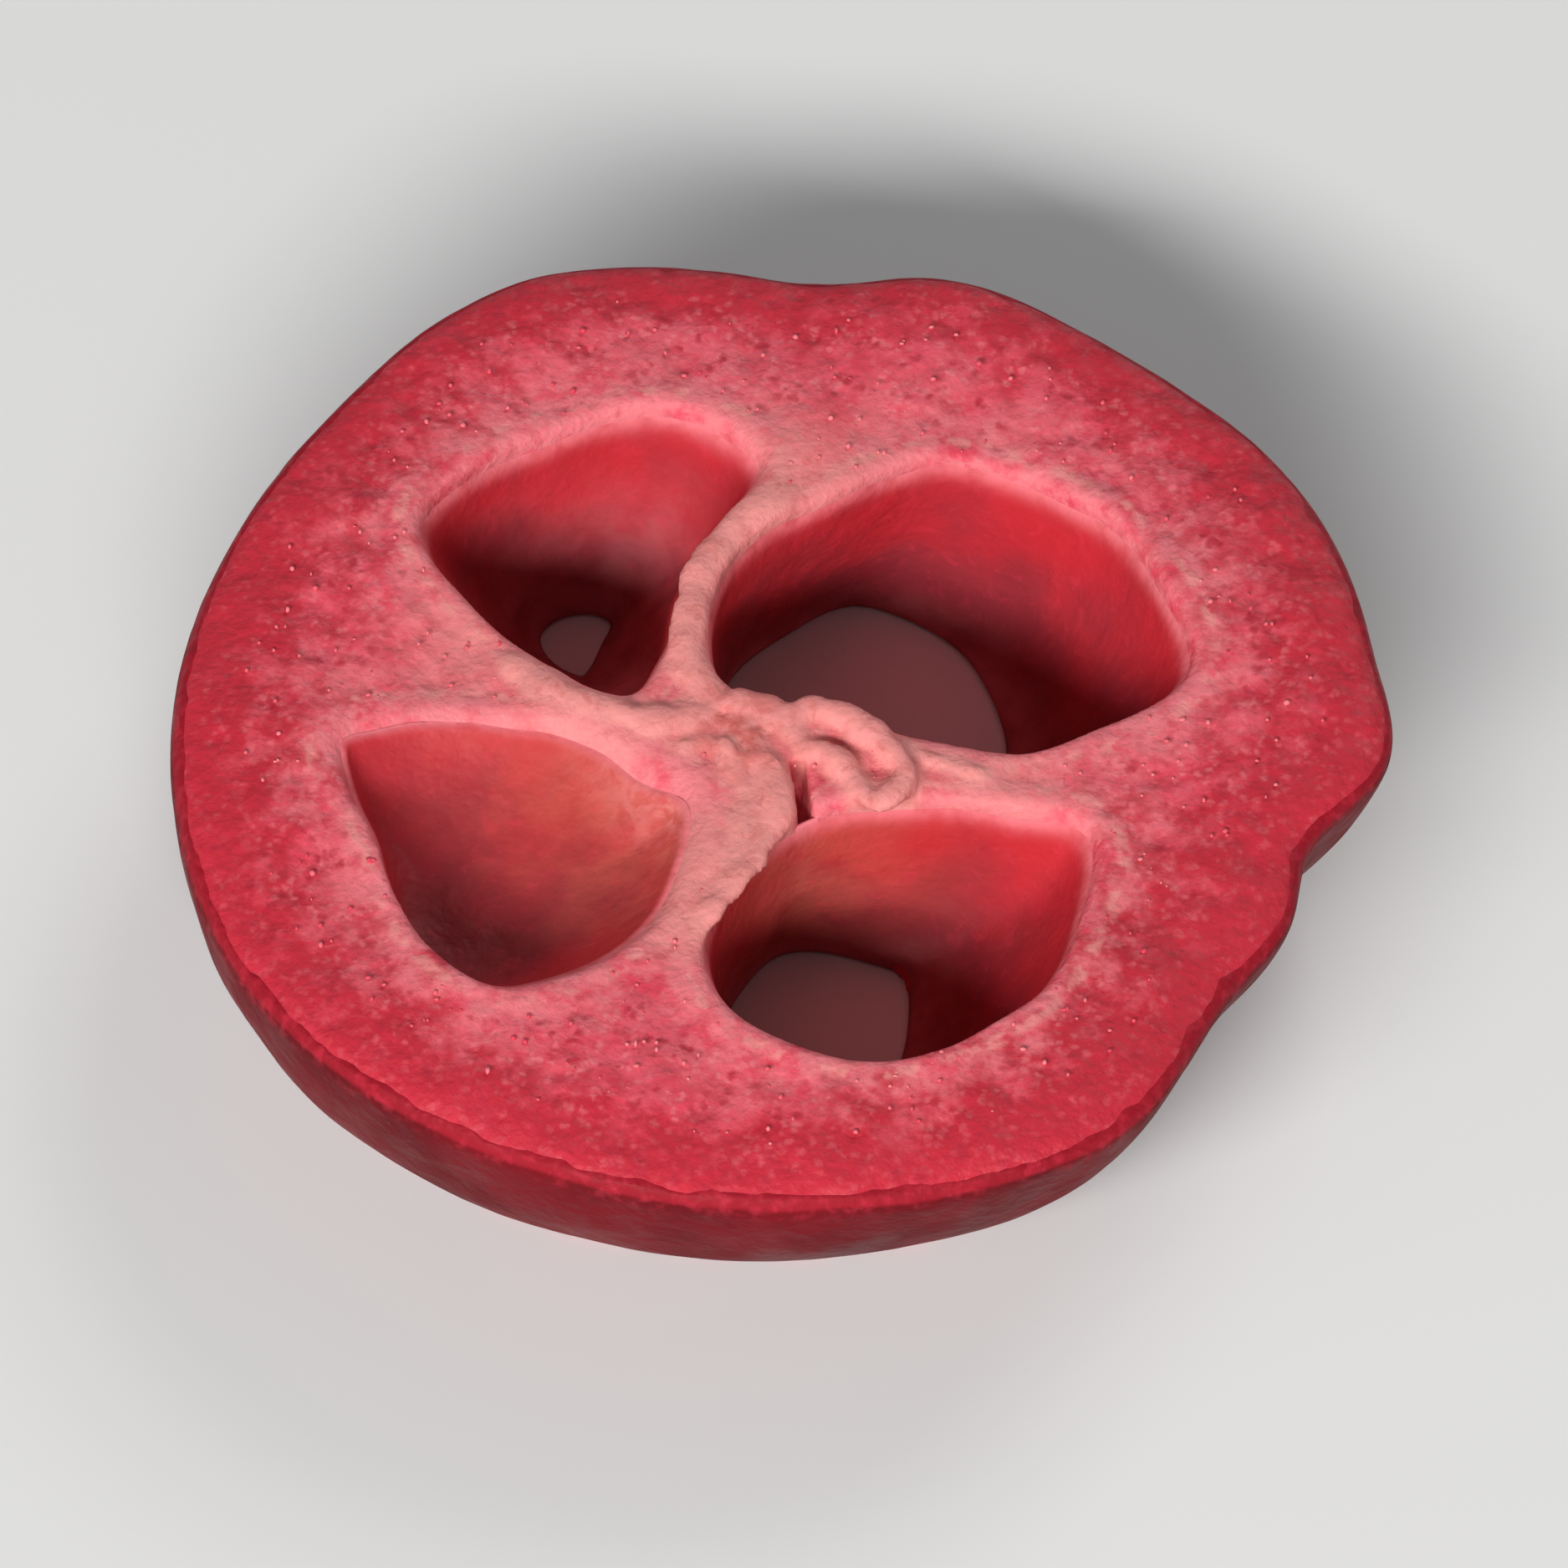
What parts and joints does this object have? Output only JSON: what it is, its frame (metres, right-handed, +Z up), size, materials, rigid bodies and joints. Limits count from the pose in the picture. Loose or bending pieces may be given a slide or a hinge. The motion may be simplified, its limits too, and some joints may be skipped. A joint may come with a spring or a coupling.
{
  "type": "freeze-dried cranberry slice",
  "caption": "Round freeze-dried cranberry slice with dry pink flesh, hollow seed chambers, thin walls between them and red skin at the edge.",
  "frame": {"origin": "middle of the slice's outline, on the surface that it lies on", "axes": "+Z up, square to the cut face, which shows upwards; +X to the picture's right and -Y towards its lower edge"},
  "size_m": [0.0152, 0.0148, 0.0033],
  "materials": {
    "dried_flesh": null
  },
  "bodies": {
    "root": {"cranberry_slice": "dried_flesh"}
  },
  "joints": []
}
